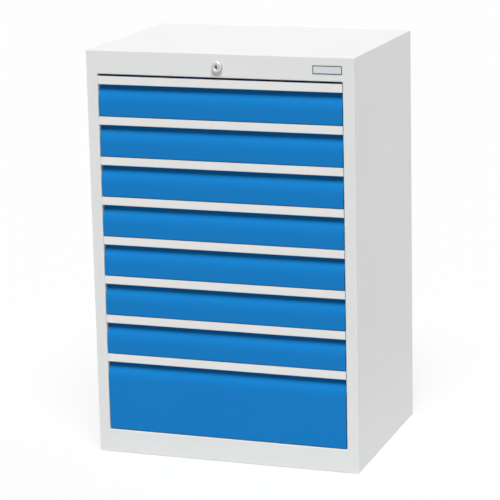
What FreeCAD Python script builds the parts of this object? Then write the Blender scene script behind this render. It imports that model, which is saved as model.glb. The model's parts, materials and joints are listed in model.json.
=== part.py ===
import FreeCAD, Part
import math
import os

# Free-standing steel drawer cabinet: seven shallow drawers and a deep one on telescopic runners,
# with a cylinder lock that closes all of them through a link and a toothed bar.
# Millimetres. Origin on the floor under the middle of the body, +X right, +Y back, +Z up.

Vector = FreeCAD.Vector
TOUCHING = 1e-6              # points closer than this are one point

# ---- cabinet body ----
CABINET_WIDTH = 680.0
CABINET_DEPTH = 500.0
BODY_SHEET = 1.2
FOLD_RADIUS = 2.5            # outside radius of the folds of the body
TOP_EDGE_RADIUS = 1.2        # tighter folds round the top panel
POST_WIDTH = 28.5            # front posts, one each side of the drawers
POST_RETURN = 18.0           # depth of a post's inner wall
PLINTH_HEIGHT = 60.0
TOP_RAIL_HEIGHT = 57.5
RAIL_RETURN = 16.0           # depth of the folded edges of the two front rails
REAR_FLANGE = 20.0
FLOOR_FLANGE = 25.0
TOP_RIM = 8.0                # depth of the folded rim of the top panel
PANEL_FIT = 0.3              # gap left round the panels that drop in
FLOOR_HOLE_RADIUS = 5.5
FLOOR_HOLE_INSET = 50.0      # floor fixing holes, from the front and from the back

# ---- drawers ----
DEEP_PITCH = 201.5
SHALLOW_PITCH = 100.0
SHALLOW_COUNT = 7
FRONT_SHEET = 1.2
FRONT_SIDE_GAP = 1.8
FRONT_GAP = 1.5              # between one front and the next
FRONT_TOP_GAP = 5.0          # above the top drawer
FRONT_FLOOR_GAP = 1.5        # under the deep drawer
FRONT_FOLD_RADIUS = 1.2
FRONT_DEPTH = 17.7           # from the face to the tray
RECESS_HEIGHT = 44.0         # finger recess, from the top of the front
GRIP_HEIGHT = 20.5
GRIP_SIDE_GAP = 0.8
GRIP_LIP = 2.0
GRIP_BEAD_RADIUS = 1.5
GRIP_LEG = 10.0
GRIP_LEG_SHEET = 1.5
TRAY_SHEET = 1.0
TRAY_FOLD_RADIUS = 1.0
TRAY_LIFT = 4.0              # tray floor above the lower edge of the front
TRAY_TOP_DROP = 21.0         # tray wall below the top of the front
TRAY_LENGTH = 443.0
HEM_HEIGHT = 10.0

# ---- telescopic runners ----
RUNNER_LENGTH = 450.0
RUNNER_HEIGHT = 45.0
RUNNER_THICKNESS = 12.7
RUNNER_SETBACK = 3.0         # from the tray's front to the runner's front end
RUNNER_RISE = 24.0           # middle of the runner above the tray floor
RUNNER_SIDE_GAP = 3.8        # between the runner and the line of the post
RAIL_SHEET = 1.2
BALL_DIAMETER = 2.8
RAIL_GAP = 0.5               # between a rail's lip and the rail inside it
CABINET_RAIL_DEPTH = 10.0
MIDDLE_RAIL_SETBACK = 3.0
CAGE_CLEARANCE = 0.6
CAGE_LENGTH = 150.0
CAGE_END_GAP = 20.0

# ---- uprights that carry the runners ----
UPRIGHT_SHEET = 1.5
UPRIGHT_WIDTH = 40.0
UPRIGHT_FOLD_RADIUS = 1.5
UPRIGHT_FRONT_SETBACK = 18.0  # from the runner's front end
UPRIGHT_REAR_SETBACK = 4.0    # from the runner's rear end
UPRIGHT_TOP_GAP = 14.0
SLOT_PITCH = 50.0
SLOT_WIDTH = 5.0
SLOT_HEIGHT = 14.0

# ---- name plate, left blank ----
PLATE_WIDTH = 72.5
PLATE_HEIGHT = 20.0
PLATE_THICKNESS = 1.0
PLATE_RIM = 1.2
PLATE_RECESS = 0.4
PLATE_SIDE_INSET = 29.2       # from the side of the cabinet
PLATE_RISE = 17.5             # above the drawer opening

# ---- central lock ----
LOCK_RISE = 26.7              # lock axis above the drawer opening
ROSETTE_RADIUS = 13.5
ROSETTE_HEIGHT = 8.0
ROSETTE_BEVEL = 2.0
HOUSING_RADIUS = 9.0
HOUSING_LENGTH = 13.5
HOUSING_HOLE_GAP = 0.2
NUT_FLATS = 24.0
NUT_THICKNESS = 4.0
BARREL_RADIUS = 6.0
BARREL_FIT = 0.05
BARREL_SINK = 0.8
KEYWAY_WIDTH = 3.0
KEYWAY_HEIGHT = 10.4
KEYWAY_DEPTH = 12.0
KEY_BIT_WIDTH = 1.8
KEY_BIT_HEIGHT = 4.4
CAM_RADIUS = 13.0
CAM_THICKNESS = 2.5
CAM_GAP = 0.5
TAIL_SIZE = 7.0
PIN_RADIUS = 2.0
PIN_THROW = 10.0              # pin from the lock axis
LOCK_TURN = 90.0              # degrees, unlocked to locked
YOKE_GAP = 0.4
LINK_THICKNESS = 2.5
LINK_HEIGHT = 14.0
LINK_RISE = 8.0               # middle of the link above the lock axis
LINK_END = 5.0
LINK_TO_BAR = 1.0
BAR_THICKNESS = 3.0
BAR_WIDTH = 12.0
BAR_SIDE_GAP = 1.0
BAR_HEAD_WALL = 2.5
BAR_TAIL = 10.0
BAR_SLOT_GAP = 0.3
TOOTH_LENGTH = 13.0
TOOTH_HEIGHT = 6.0
TOOTH_GAP = 2.0               # above the runner
LUG_GAP = 4.0                 # drawer's lug above the tooth, unlocked
LUG_HEIGHT = 8.0
LUG_REACH = 11.0
LUG_LENGTH = 24.0
LUG_SHEET = 1.5
LUG_PLAY = 2.5                # between tooth and lug, locked
GUIDE_HEIGHT = 18.0
GUIDE_GAP = 0.5
GUIDE_WALL = 1.5
GUIDE_LUG_GAP = 8.0
GUIDE_DRAWERS = (2, 5, 8)
BRIDGE_WIDTH = 20.0
BRIDGE_SHEET = 1.2
BRIDGE_GAP = 0.5

# ---- sizes that follow ----
HALF_WIDTH = CABINET_WIDTH / 2
FRONT_Y = -CABINET_DEPTH / 2
BACK_Y = CABINET_DEPTH / 2
INNER_HALF = HALF_WIDTH - BODY_SHEET
OPENING_HALF = HALF_WIDTH - POST_WIDTH
OPENING_BOTTOM = PLINTH_HEIGHT
OPENING_TOP = PLINTH_HEIGHT + DEEP_PITCH + SHALLOW_COUNT * SHALLOW_PITCH
CABINET_HEIGHT = OPENING_TOP + TOP_RAIL_HEIGHT
WALL_TOP = CABINET_HEIGHT - TOP_RIM
DRAWER_COUNT = SHALLOW_COUNT + 1

FRONT_HALF = OPENING_HALF - FRONT_SIDE_GAP
GRIP_HALF = OPENING_HALF - GRIP_SIDE_GAP
TRAY_FRONT = FRONT_Y + FRONT_DEPTH
TRAY_BACK = TRAY_FRONT + TRAY_LENGTH
RUNNER_PLANE = OPENING_HALF - RUNNER_SIDE_GAP
TRAY_HALF = RUNNER_PLANE - RUNNER_THICKNESS
RUNNER_FRONT = TRAY_FRONT + RUNNER_SETBACK
RUNNER_BACK = RUNNER_FRONT + RUNNER_LENGTH
CABINET_RAIL_HALF = RUNNER_HEIGHT / 2
MIDDLE_RAIL_HALF = CABINET_RAIL_HALF - RAIL_SHEET - BALL_DIAMETER
DRAWER_RAIL_HALF = MIDDLE_RAIL_HALF - RAIL_SHEET - BALL_DIAMETER

LOCK_Z = OPENING_TOP + LOCK_RISE
HOUSING_BACK = FRONT_Y + HOUSING_LENGTH
CAM_FRONT = HOUSING_BACK + CAM_GAP
CAM_BACK = CAM_FRONT + CAM_THICKNESS
LINK_FRONT = CAM_BACK + CAM_GAP
LINK_BACK = LINK_FRONT + LINK_THICKNESS
BAR_FRONT = LINK_BACK + LINK_TO_BAR
BAR_BACK = BAR_FRONT + BAR_THICKNESS
LINK_Z = LOCK_Z + LINK_RISE
HALF_TURN = math.radians(LOCK_TURN / 2)
LOCK_STROKE = 2 * PIN_THROW * math.sin(HALF_TURN)
PIN_X = -PIN_THROW * math.sin(HALF_TURN)
PIN_Z = LOCK_Z + PIN_THROW * math.cos(HALF_TURN)
BAR_INNER = OPENING_HALF + BODY_SHEET + BAR_SIDE_GAP
BAR_SLOT_HALF = PIN_RADIUS + BAR_SLOT_GAP
BAR_PIN_X = BAR_INNER + BAR_HEAD_WALL + BAR_SLOT_HALF
UPRIGHT_FRONT = RUNNER_FRONT + UPRIGHT_FRONT_SETBACK
UPRIGHT_REAR = RUNNER_BACK - UPRIGHT_REAR_SETBACK - UPRIGHT_WIDTH


# ---- planes that sections are drawn in, each with the direction it is extruded along ----

def plan(x, y):
    return Vector(x, y, 0)


def profile(y, z):
    return Vector(0, y, z)


def elevation(x, z):
    return Vector(x, 0, z)


ALONG = {plan: Vector(0, 0, 1), profile: Vector(1, 0, 0), elevation: Vector(0, 1, 0)}


# ---- general shapes ----

def block(x0, x1, y0, y1, z0, z1):
    """Box between two values along each axis."""
    return Part.makeBox(x1 - x0, y1 - y0, z1 - z0, Vector(x0, y0, z0))


def disc(radius, y0, y1, x, z):
    """Cylinder along Y."""
    return Part.makeCylinder(radius, y1 - y0, Vector(x, y0, z), Vector(0, 1, 0))


def joined(first, *others):
    return first.fuse(list(others)).removeSplitter()


def mirrored(shape):
    return shape.mirror(Vector(0, 0, 0), Vector(1, 0, 0))


def both_sides(shape):
    return Part.makeCompound([shape, mirrored(shape)])


def extruded(outline, plane, start, length):
    """Solid of a closed outline drawn in a plane, from start over length along the plane's normal."""
    solid = Part.Face(outline).extrude(ALONG[plane] * length)
    solid.translate(ALONG[plane] * start)
    return solid


def polygon(points, plane):
    corners = [plane(*point) for point in points]
    return Part.makePolygon(corners + corners[:1])


def corner_arc(before, corner, after, radius):
    """Tangent points and middle of the arc that rounds a corner, as three plane points."""
    back = (before - corner).normalize()
    ahead = (after - corner).normalize()
    half = back.getAngle(ahead) / 2
    reach = radius / math.tan(half)
    bisector = (back + ahead).normalize()
    middle = corner + bisector * (radius / math.sin(half) - radius)
    return corner + back * reach, middle, corner + ahead * reach


def folded_outline(points, thickness, plane, radius):
    """Outline of sheet folded along points, lying on the left of that path; radius is the outside one."""
    inside = max(radius - thickness, 0)
    path = [Vector(x, y, 0) for x, y in points]
    steps = [(b - a).normalize() for a, b in zip(path, path[1:])]
    lefts = [Vector(-step.y, step.x, 0) for step in steps]
    near = [(path[0], 0)]
    far = [(path[0] + lefts[0] * thickness, 0)]
    for index in range(1, len(path) - 1):
        before, after = lefts[index - 1], lefts[index]
        inwards = steps[index - 1].cross(steps[index]).z > 0
        mitre = (before + after) * (thickness / (1 + before.dot(after)))
        near.append((path[index], radius if inwards else inside))
        far.append((path[index] + mitre, inside if inwards else radius))
    near.append((path[-1], 0))
    far.append((path[-1] + lefts[-1] * thickness, 0))
    return rounded_outline(near + far[::-1], plane)


def rounded_outline(corners, plane):
    """Closed wire through (point, radius) corners; a radius of 0 leaves the corner sharp."""
    edges = []
    arcs = []
    count = len(corners)
    for index, (corner, radius) in enumerate(corners):
        before = corners[index - 1][0]
        after = corners[(index + 1) % count][0]
        if radius > 0:
            arcs.append(corner_arc(before, corner, after, radius))
        else:
            arcs.append((corner, None, corner))
    for index, (start, middle, end) in enumerate(arcs):
        if middle is not None:
            edges.append(Part.Arc(*[plane(p.x, p.y) for p in (start, middle, end)]).toShape())
        following = arcs[(index + 1) % count][0]
        if (following - end).Length > TOUCHING:
            edges.append(Part.makeLine(plane(end.x, end.y), plane(following.x, following.y)))
    return Part.Wire(edges)


def folded(points, thickness, plane, start, length, radius=0):
    return extruded(folded_outline(points, thickness, plane, radius), plane, start, length)


# ---- where each drawer lies ----

def bay_top(number):
    """Top of a drawer's share of the opening; drawers are numbered from the top."""
    return OPENING_TOP - (number - 1) * SHALLOW_PITCH


def front_top(number):
    return bay_top(number) - FRONT_TOP_GAP


def front_bottom(number):
    if number == DRAWER_COUNT:
        return OPENING_BOTTOM + FRONT_FLOOR_GAP
    return front_top(number + 1) + FRONT_GAP


def tray_floor(number):
    return front_bottom(number) + TRAY_LIFT


def tray_top(number):
    return front_top(number) - TRAY_TOP_DROP


def runner_z(number):
    return tray_floor(number) + RUNNER_RISE


def tooth_z(number):
    """Lower edge of the lock bar's tooth for a drawer, unlocked."""
    return runner_z(number) + CABINET_RAIL_HALF + TOOTH_GAP


def lug_z(number):
    """Lower edge of the lug that the tooth catches."""
    return tooth_z(number) + TOOTH_HEIGHT + LUG_GAP


# ---- body panels ----

def side_panel():
    """Right-hand side: folded round into the rear flange, the floor flange and the front post."""
    seam = OPENING_HALF + FOLD_RADIUS
    wall_path = [(HALF_WIDTH - REAR_FLANGE, BACK_Y), (HALF_WIDTH, BACK_Y), (HALF_WIDTH, FRONT_Y),
                 (seam, FRONT_Y)]
    wall = folded(wall_path[::-1], BODY_SHEET, plan, 0, WALL_TOP, FOLD_RADIUS)
    post_path = [(OPENING_HALF, FRONT_Y + POST_RETURN), (OPENING_HALF, FRONT_Y), (seam, FRONT_Y)]
    opening_height = OPENING_TOP - OPENING_BOTTOM
    post = folded(post_path, BODY_SHEET, plan, OPENING_BOTTOM, opening_height, FOLD_RADIUS)
    foot = block(HALF_WIDTH - FLOOR_FLANGE, INNER_HALF, FRONT_Y + BODY_SHEET, BACK_Y - BODY_SHEET,
                 0, BODY_SHEET)
    panel = joined(wall, post, foot)
    hole_x = HALF_WIDTH - FLOOR_FLANGE / 2
    for hole_y in (FRONT_Y + FLOOR_HOLE_INSET, BACK_Y - FLOOR_HOLE_INSET):
        panel = panel.cut(Part.makeCylinder(FLOOR_HOLE_RADIUS, BODY_SHEET, Vector(hole_x, hole_y, 0)))
    return panel


def top_panel():
    """Shallow pan with all its folds rounded, standing on the walls."""
    outer = block(-HALF_WIDTH, HALF_WIDTH, FRONT_Y, BACK_Y, WALL_TOP, CABINET_HEIGHT)
    inner = block(-INNER_HALF, INNER_HALF, FRONT_Y + BODY_SHEET, BACK_Y - BODY_SHEET,
                  WALL_TOP, CABINET_HEIGHT - BODY_SHEET)
    outer_edges = [edge for edge in outer.Edges if edge.BoundBox.ZMax > WALL_TOP + TOP_EDGE_RADIUS]
    return outer.makeFillet(TOP_EDGE_RADIUS, outer_edges).cut(inner)


def front_rail(bottom, top, fold_edges):
    """Flat rail between the posts with a return along each named edge, 'bottom' or 'top'."""
    seam = OPENING_HALF + FOLD_RADIUS
    path = [(FRONT_Y, bottom), (FRONT_Y, top)]
    if "bottom" in fold_edges:
        path.insert(0, (FRONT_Y + RAIL_RETURN, bottom))
    if "top" in fold_edges:
        path.append((FRONT_Y + RAIL_RETURN, top))
    rail = folded(path[::-1], BODY_SHEET, profile, -OPENING_HALF, 2 * OPENING_HALF, FOLD_RADIUS)
    tab = block(OPENING_HALF, seam, FRONT_Y, FRONT_Y + BODY_SHEET, bottom, top)
    return joined(rail, tab, mirrored(tab))


def top_rail():
    rail = front_rail(OPENING_TOP, WALL_TOP, ("bottom",))
    hole = disc(HOUSING_RADIUS + HOUSING_HOLE_GAP, FRONT_Y, FRONT_Y + BODY_SHEET, 0, LOCK_Z)
    return rail.cut(hole)


def plinth_rail():
    return front_rail(0, OPENING_BOTTOM, ("bottom", "top"))


def base_panel():
    """Floor of the cabinet, tucked under the return of the plinth rail and notched round the posts."""
    top = OPENING_BOTTOM - BODY_SHEET
    rear = BACK_Y - BODY_SHEET - BODY_SHEET - PANEL_FIT
    side = INNER_HALF - PANEL_FIT
    floor = block(-side, side, FRONT_Y + FOLD_RADIUS, rear, top - BODY_SHEET, top)
    notch = block(OPENING_HALF - PANEL_FIT, side, FRONT_Y, FRONT_Y + POST_RETURN + PANEL_FIT,
                  top - BODY_SHEET, top)
    hem = block(-side, side, rear - BODY_SHEET, rear, top - FLOOR_FLANGE, top)
    return joined(floor.cut([notch, mirrored(notch)]), hem)


def back_panel():
    """Flat sheet inside the rear flanges, tucked up into the rim of the top panel."""
    side = INNER_HALF - FOLD_RADIUS
    rear = BACK_Y - BODY_SHEET
    top = CABINET_HEIGHT - BODY_SHEET - FOLD_RADIUS
    return block(-side, side, rear - BODY_SHEET, rear, BODY_SHEET + PANEL_FIT, top)


def uprights():
    """Two slotted channels on the right-hand side, a front one and a rear one."""
    bottom = OPENING_BOTTOM - BODY_SHEET
    height = CABINET_HEIGHT - UPRIGHT_TOP_GAP - bottom
    channels = []
    for front in (UPRIGHT_FRONT, UPRIGHT_REAR):
        rear = front + UPRIGHT_WIDTH
        path = [(INNER_HALF, front), (RUNNER_PLANE, front), (RUNNER_PLANE, rear), (INNER_HALF, rear)]
        channel = folded(path[::-1], UPRIGHT_SHEET, plan, bottom, height, UPRIGHT_FOLD_RADIUS)
        middle = front + UPRIGHT_WIDTH / 2
        channels.append(channel.cut(slots(middle, bottom, bottom + height)))
    return Part.makeCompound(channels)


def slots(middle, bottom, top):
    """Column of upright slots through the web of a channel."""
    count = int((top - bottom - SLOT_HEIGHT) / SLOT_PITCH)
    first = bottom + (top - bottom - (count - 1) * SLOT_PITCH) / 2
    cutters = []
    for index in range(count):
        z = first + index * SLOT_PITCH
        cutters.append(block(RUNNER_PLANE, RUNNER_PLANE + UPRIGHT_SHEET, middle - SLOT_WIDTH / 2,
                             middle + SLOT_WIDTH / 2, z - SLOT_HEIGHT / 2, z + SLOT_HEIGHT / 2))
    return cutters


def name_plate():
    right = HALF_WIDTH - PLATE_SIDE_INSET
    left = right - PLATE_WIDTH
    bottom = OPENING_TOP + PLATE_RISE
    top = bottom + PLATE_HEIGHT
    plate = block(left, right, FRONT_Y - PLATE_THICKNESS, FRONT_Y, bottom, top)
    panel = block(left + PLATE_RIM, right - PLATE_RIM, FRONT_Y - PLATE_THICKNESS,
                  FRONT_Y - PLATE_THICKNESS + PLATE_RECESS, bottom + PLATE_RIM, top - PLATE_RIM)
    return plate.cut(panel)


# ---- telescopic runners: three nested rails with caged balls between them ----

def rail(depths, half_height, lip_end, z):
    """Right-hand rail with its web at the first depth and its lips at the second, from the runner plane."""
    web, mouth = [RUNNER_PLANE - depth for depth in depths]
    path = [(mouth, -lip_end), (mouth, -half_height), (web, -half_height), (web, half_height),
            (mouth, half_height), (mouth, lip_end)]
    points = [(x, z + height) for x, height in path]
    return folded(points, RAIL_SHEET, elevation, RUNNER_FRONT, RUNNER_LENGTH)


def cabinet_rail(z):
    return rail((0, CABINET_RAIL_DEPTH), CABINET_RAIL_HALF, MIDDLE_RAIL_HALF + RAIL_GAP, z)


def middle_rail(z):
    mouth = RUNNER_THICKNESS - RAIL_SHEET
    return rail((MIDDLE_RAIL_SETBACK, mouth), MIDDLE_RAIL_HALF, DRAWER_RAIL_HALF + RAIL_GAP, z)


def drawer_rail(z):
    """Innermost rail, a plain channel with its web against the tray."""
    web = TRAY_HALF
    mouth = RUNNER_PLANE - MIDDLE_RAIL_SETBACK - 2 * RAIL_SHEET
    points = [(mouth, z - DRAWER_RAIL_HALF), (web, z - DRAWER_RAIL_HALF), (web, z + DRAWER_RAIL_HALF),
              (mouth, z + DRAWER_RAIL_HALF)]
    return folded(points[::-1], RAIL_SHEET, elevation, RUNNER_FRONT, RUNNER_LENGTH)


def ball_cages(z):
    """Strips that hold the balls above and below: at the back round the middle rail, at the front in it."""
    thickness = BALL_DIAMETER - 2 * CAGE_CLEARANCE
    deep = RUNNER_PLANE - MIDDLE_RAIL_SETBACK - RAIL_SHEET - CAGE_CLEARANCE
    lip = RUNNER_PLANE - CABINET_RAIL_DEPTH + RAIL_SHEET + CAGE_CLEARANCE
    rear_end = RUNNER_BACK - CAGE_END_GAP
    front_end = RUNNER_FRONT + CAGE_END_GAP
    cages = []
    for half_height, start in ((MIDDLE_RAIL_HALF, rear_end - CAGE_LENGTH), (DRAWER_RAIL_HALF, front_end)):
        low = half_height + CAGE_CLEARANCE
        high = low + thickness
        cages.append(block(lip, deep, start, start + CAGE_LENGTH, z + low, z + high))
        cages.append(block(lip, deep, start, start + CAGE_LENGTH, z - high, z - low))
    return cages


def cabinet_rails():
    return Part.makeCompound([cabinet_rail(runner_z(number)) for number in range(1, DRAWER_COUNT + 1)])


def middle_rails(number):
    side = Part.makeCompound([middle_rail(runner_z(number))] + ball_cages(runner_z(number)))
    return both_sides(side)


def drawer_rails(number):
    return both_sides(drawer_rail(runner_z(number)))


# ---- drawers ----

def tray(number):
    """Folded floor and sides with hemmed tops, closed by a front wall and a rear wall."""
    bottom = tray_floor(number)
    top = tray_top(number)
    path = [(-TRAY_HALF, top), (-TRAY_HALF, bottom), (TRAY_HALF, bottom), (TRAY_HALF, top)]
    inner = TRAY_HALF - TRAY_SHEET
    trough = folded(path, TRAY_SHEET, elevation, TRAY_FRONT, TRAY_LENGTH, TRAY_FOLD_RADIUS)
    front = block(-inner, inner, TRAY_FRONT, TRAY_FRONT + TRAY_SHEET, bottom + TRAY_SHEET, top)
    back = block(-inner, inner, TRAY_BACK - TRAY_SHEET, TRAY_BACK, bottom + TRAY_SHEET, top)
    hem = block(inner - TRAY_SHEET, inner, TRAY_FRONT, TRAY_BACK, top - HEM_HEIGHT, top)
    return joined(trough, front, back, hem, mirrored(hem))


def lug(number):
    """Angle on the right of the tray that the lock bar's tooth catches."""
    front = BAR_BACK + LUG_PLAY
    path = [(TRAY_HALF + LUG_REACH, front), (TRAY_HALF, front), (TRAY_HALF, front + LUG_LENGTH)]
    return folded(path[::-1], LUG_SHEET, plan, lug_z(number), LUG_HEIGHT)


def tray_with_lug(number):
    return Part.makeCompound([tray(number), lug(number)])


def drawer_front(number):
    """Sheet folded from the lower flange up the face, back along the finger recess and over the top."""
    bottom = front_bottom(number)
    top = front_top(number)
    riser = TRAY_FRONT - FRONT_SHEET
    under_flange = top - FRONT_SHEET
    path = [(FRONT_Y + GRIP_LIP, under_flange), (riser, under_flange), (riser, top - GRIP_HEIGHT),
            (FRONT_Y, top - RECESS_HEIGHT), (FRONT_Y, bottom), (TRAY_FRONT, bottom)]
    shell = folded(path, FRONT_SHEET, profile, -FRONT_HALF, 2 * FRONT_HALF, FRONT_FOLD_RADIUS)
    cheek_path = [(TRAY_FRONT, bottom), (FRONT_Y, bottom), (FRONT_Y, top - RECESS_HEIGHT),
                  (riser, top - GRIP_HEIGHT), (TRAY_FRONT, top - GRIP_HEIGHT)]
    cheek = rounded_outline(cheek_corners(cheek_path), profile)
    cheek = extruded(cheek, profile, FRONT_HALF - FRONT_SHEET, FRONT_SHEET)
    return joined(shell, cheek, mirrored(cheek))


def cheek_corners(points):
    """Corners of the closed end of a front, rounded where the face is folded."""
    return [(Vector(y, z, 0), FRONT_FOLD_RADIUS if index == 1 else 0) for index, (y, z) in enumerate(points)]


def grip(number):
    """Full-width strip: a lip with a beaded lower edge and a leg under the front's top flange."""
    top = front_top(number)
    back = FRONT_Y + GRIP_LIP
    under = top - FRONT_SHEET
    leg_end = back + GRIP_LEG
    bead_z = top - GRIP_HEIGHT + GRIP_BEAD_RADIUS
    bead_back = FRONT_Y + 2 * GRIP_BEAD_RADIUS
    bead_step = bead_back - back
    points = [(FRONT_Y, bead_z), (FRONT_Y, top), (back, top), (back, under), (leg_end, under),
              (leg_end, under - GRIP_LEG_SHEET), (back, under - GRIP_LEG_SHEET),
              (back, bead_z + GRIP_BEAD_RADIUS + bead_step), (bead_back, bead_z + GRIP_BEAD_RADIUS),
              (bead_back, bead_z)]
    corners = [profile(y, z) for y, z in points]
    lowest = profile(FRONT_Y + GRIP_BEAD_RADIUS, bead_z - GRIP_BEAD_RADIUS)
    edges = [Part.makeLine(a, b) for a, b in zip(corners, corners[1:])]
    edges.append(Part.Arc(corners[-1], lowest, corners[0]).toShape())
    return extruded(Part.Wire(edges), profile, -GRIP_HALF, 2 * GRIP_HALF)


# ---- central lock ----

def lock_housing():
    """Turned body with a bevelled rosette outside the top rail, bored for the barrel."""
    face = FRONT_Y - ROSETTE_HEIGHT
    bore = BARREL_RADIUS + BARREL_FIT
    points = [(bore, face), (ROSETTE_RADIUS - ROSETTE_BEVEL, face), (ROSETTE_RADIUS, face + ROSETTE_BEVEL),
              (ROSETTE_RADIUS, FRONT_Y), (HOUSING_RADIUS, FRONT_Y), (HOUSING_RADIUS, HOUSING_BACK),
              (bore, HOUSING_BACK)]
    section = Part.Face(polygon(points, plan))
    housing = section.revolve(Vector(0, 0, 0), Vector(0, 1, 0), 360)
    housing.translate(Vector(0, 0, LOCK_Z))
    return housing


def lock_nut():
    """Hexagon nut behind the top rail."""
    radius = NUT_FLATS / math.sqrt(3)
    points = []
    for corner in range(6):
        angle = math.radians(60 * corner)
        points.append((radius * math.cos(angle), LOCK_Z + radius * math.sin(angle)))
    front = FRONT_Y + BODY_SHEET
    nut = extruded(polygon(points, elevation), elevation, front, NUT_THICKNESS)
    return nut.cut(disc(HOUSING_RADIUS, front, front + NUT_THICKNESS, 0, LOCK_Z))


def lock_barrel():
    """Barrel with its keyway in front and a square tail behind."""
    face = FRONT_Y - ROSETTE_HEIGHT + BARREL_SINK
    barrel = disc(BARREL_RADIUS, face, CAM_FRONT, 0, LOCK_Z)
    half = TAIL_SIZE / 2
    tail = block(-half, half, CAM_FRONT, CAM_BACK, LOCK_Z - half, LOCK_Z + half)
    keyway = block(-KEYWAY_WIDTH / 2, KEYWAY_WIDTH / 2, face, face + KEYWAY_DEPTH,
                   LOCK_Z - KEYWAY_HEIGHT / 2, LOCK_Z + KEYWAY_HEIGHT / 2)
    bit = block(-KEYWAY_WIDTH / 2 - KEY_BIT_WIDTH, -KEYWAY_WIDTH / 2, face, face + KEYWAY_DEPTH,
                LOCK_Z - KEY_BIT_HEIGHT / 2, LOCK_Z + KEY_BIT_HEIGHT / 2)
    return joined(barrel, tail).cut(joined(keyway, bit))


def lock_cam():
    """Disc on the barrel's tail with the pin that drives the link."""
    half = TAIL_SIZE / 2
    plate = disc(CAM_RADIUS, CAM_FRONT, CAM_BACK, 0, LOCK_Z)
    plate = plate.cut(block(-half, half, CAM_FRONT, CAM_BACK, LOCK_Z - half, LOCK_Z + half))
    pin = disc(PIN_RADIUS, CAM_BACK, LINK_BACK + LINK_TO_BAR / 2, PIN_X, PIN_Z)
    return joined(plate, pin)


def lock_link():
    """Flat bar from the cam to the lock bar: an upright slot at one end and a pin at the other."""
    left = PIN_X - PIN_RADIUS - YOKE_GAP - LINK_END
    bar = block(left, BAR_PIN_X + LINK_END, LINK_FRONT, LINK_BACK, LINK_Z - LINK_HEIGHT / 2,
                LINK_Z + LINK_HEIGHT / 2)
    half = PIN_RADIUS + YOKE_GAP
    yoke = block(PIN_X - half, PIN_X + half, LINK_FRONT, LINK_BACK, PIN_Z - half, LOCK_Z + PIN_THROW + half)
    pin = disc(PIN_RADIUS, LINK_BACK, BAR_BACK, BAR_PIN_X, LINK_Z)
    return joined(bar.cut(yoke), pin)


def bar_slot():
    """Slanted slot in the head of the lock bar: it turns the link's stroke into an equal lift."""
    start = disc(BAR_SLOT_HALF, BAR_FRONT, BAR_BACK, BAR_PIN_X, LINK_Z)
    end = disc(BAR_SLOT_HALF, BAR_FRONT, BAR_BACK, BAR_PIN_X + LOCK_STROKE, LINK_Z - LOCK_STROKE)
    shift = BAR_SLOT_HALF * math.sqrt(0.5)
    points = [(BAR_PIN_X - shift, LINK_Z - shift), (BAR_PIN_X + shift, LINK_Z + shift),
              (BAR_PIN_X + LOCK_STROKE + shift, LINK_Z - LOCK_STROKE + shift),
              (BAR_PIN_X + LOCK_STROKE - shift, LINK_Z - LOCK_STROKE - shift)]
    run = extruded(polygon(points, elevation), elevation, BAR_FRONT, BAR_THICKNESS)
    return joined(start, end, run)


def lock_bar():
    """Upright strip behind the right-hand post with a slotted head and a tooth for each drawer."""
    margin = BAR_SLOT_HALF + BAR_HEAD_WALL
    head_bottom = LINK_Z - LOCK_STROKE - margin
    head = block(BAR_INNER, BAR_PIN_X + LOCK_STROKE + margin, BAR_FRONT, BAR_BACK, head_bottom,
                 LINK_Z + margin).cut(bar_slot())
    strip = block(BAR_INNER, BAR_INNER + BAR_WIDTH, BAR_FRONT, BAR_BACK,
                  tooth_z(DRAWER_COUNT) - BAR_TAIL, head_bottom)
    teeth = []
    for number in range(1, DRAWER_COUNT + 1):
        z = tooth_z(number)
        teeth.append(block(BAR_INNER - TOOTH_LENGTH, BAR_INNER, BAR_FRONT, BAR_BACK, z, z + TOOTH_HEIGHT))
    return Part.makeCompound([head, strip] + teeth)


def bar_guide(number):
    """Plastic block between the side panel and the front upright, with a hole that the bar slides in."""
    bottom = lug_z(number) + LUG_HEIGHT + GUIDE_LUG_GAP
    top = bottom + GUIDE_HEIGHT
    front = BAR_FRONT - GUIDE_GAP - GUIDE_WALL
    body = block(BAR_INNER - GUIDE_GAP - GUIDE_WALL, INNER_HALF, front, UPRIGHT_FRONT, bottom, top)
    hole = block(BAR_INNER - GUIDE_GAP, BAR_INNER + BAR_WIDTH + GUIDE_GAP, BAR_FRONT - GUIDE_GAP,
                 BAR_BACK + GUIDE_GAP, bottom, top)
    return body.cut(hole)


def link_bridge():
    """Strap on the back of the top rail that the link slides through."""
    back = LINK_BACK + BRIDGE_GAP
    low = LINK_Z - LINK_HEIGHT / 2 - BRIDGE_GAP
    high = LINK_Z + LINK_HEIGHT / 2 + BRIDGE_GAP
    plate_y = FRONT_Y + BODY_SHEET
    path = [(plate_y, low), (back, low), (back, high), (plate_y, high)]
    return folded(path[::-1], BRIDGE_SHEET, profile, BAR_PIN_X / 2, BRIDGE_WIDTH)


def lock_guides():
    return Part.makeCompound([link_bridge()] + [bar_guide(number) for number in GUIDE_DRAWERS])


# ---- every piece, each in its own file ----

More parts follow.
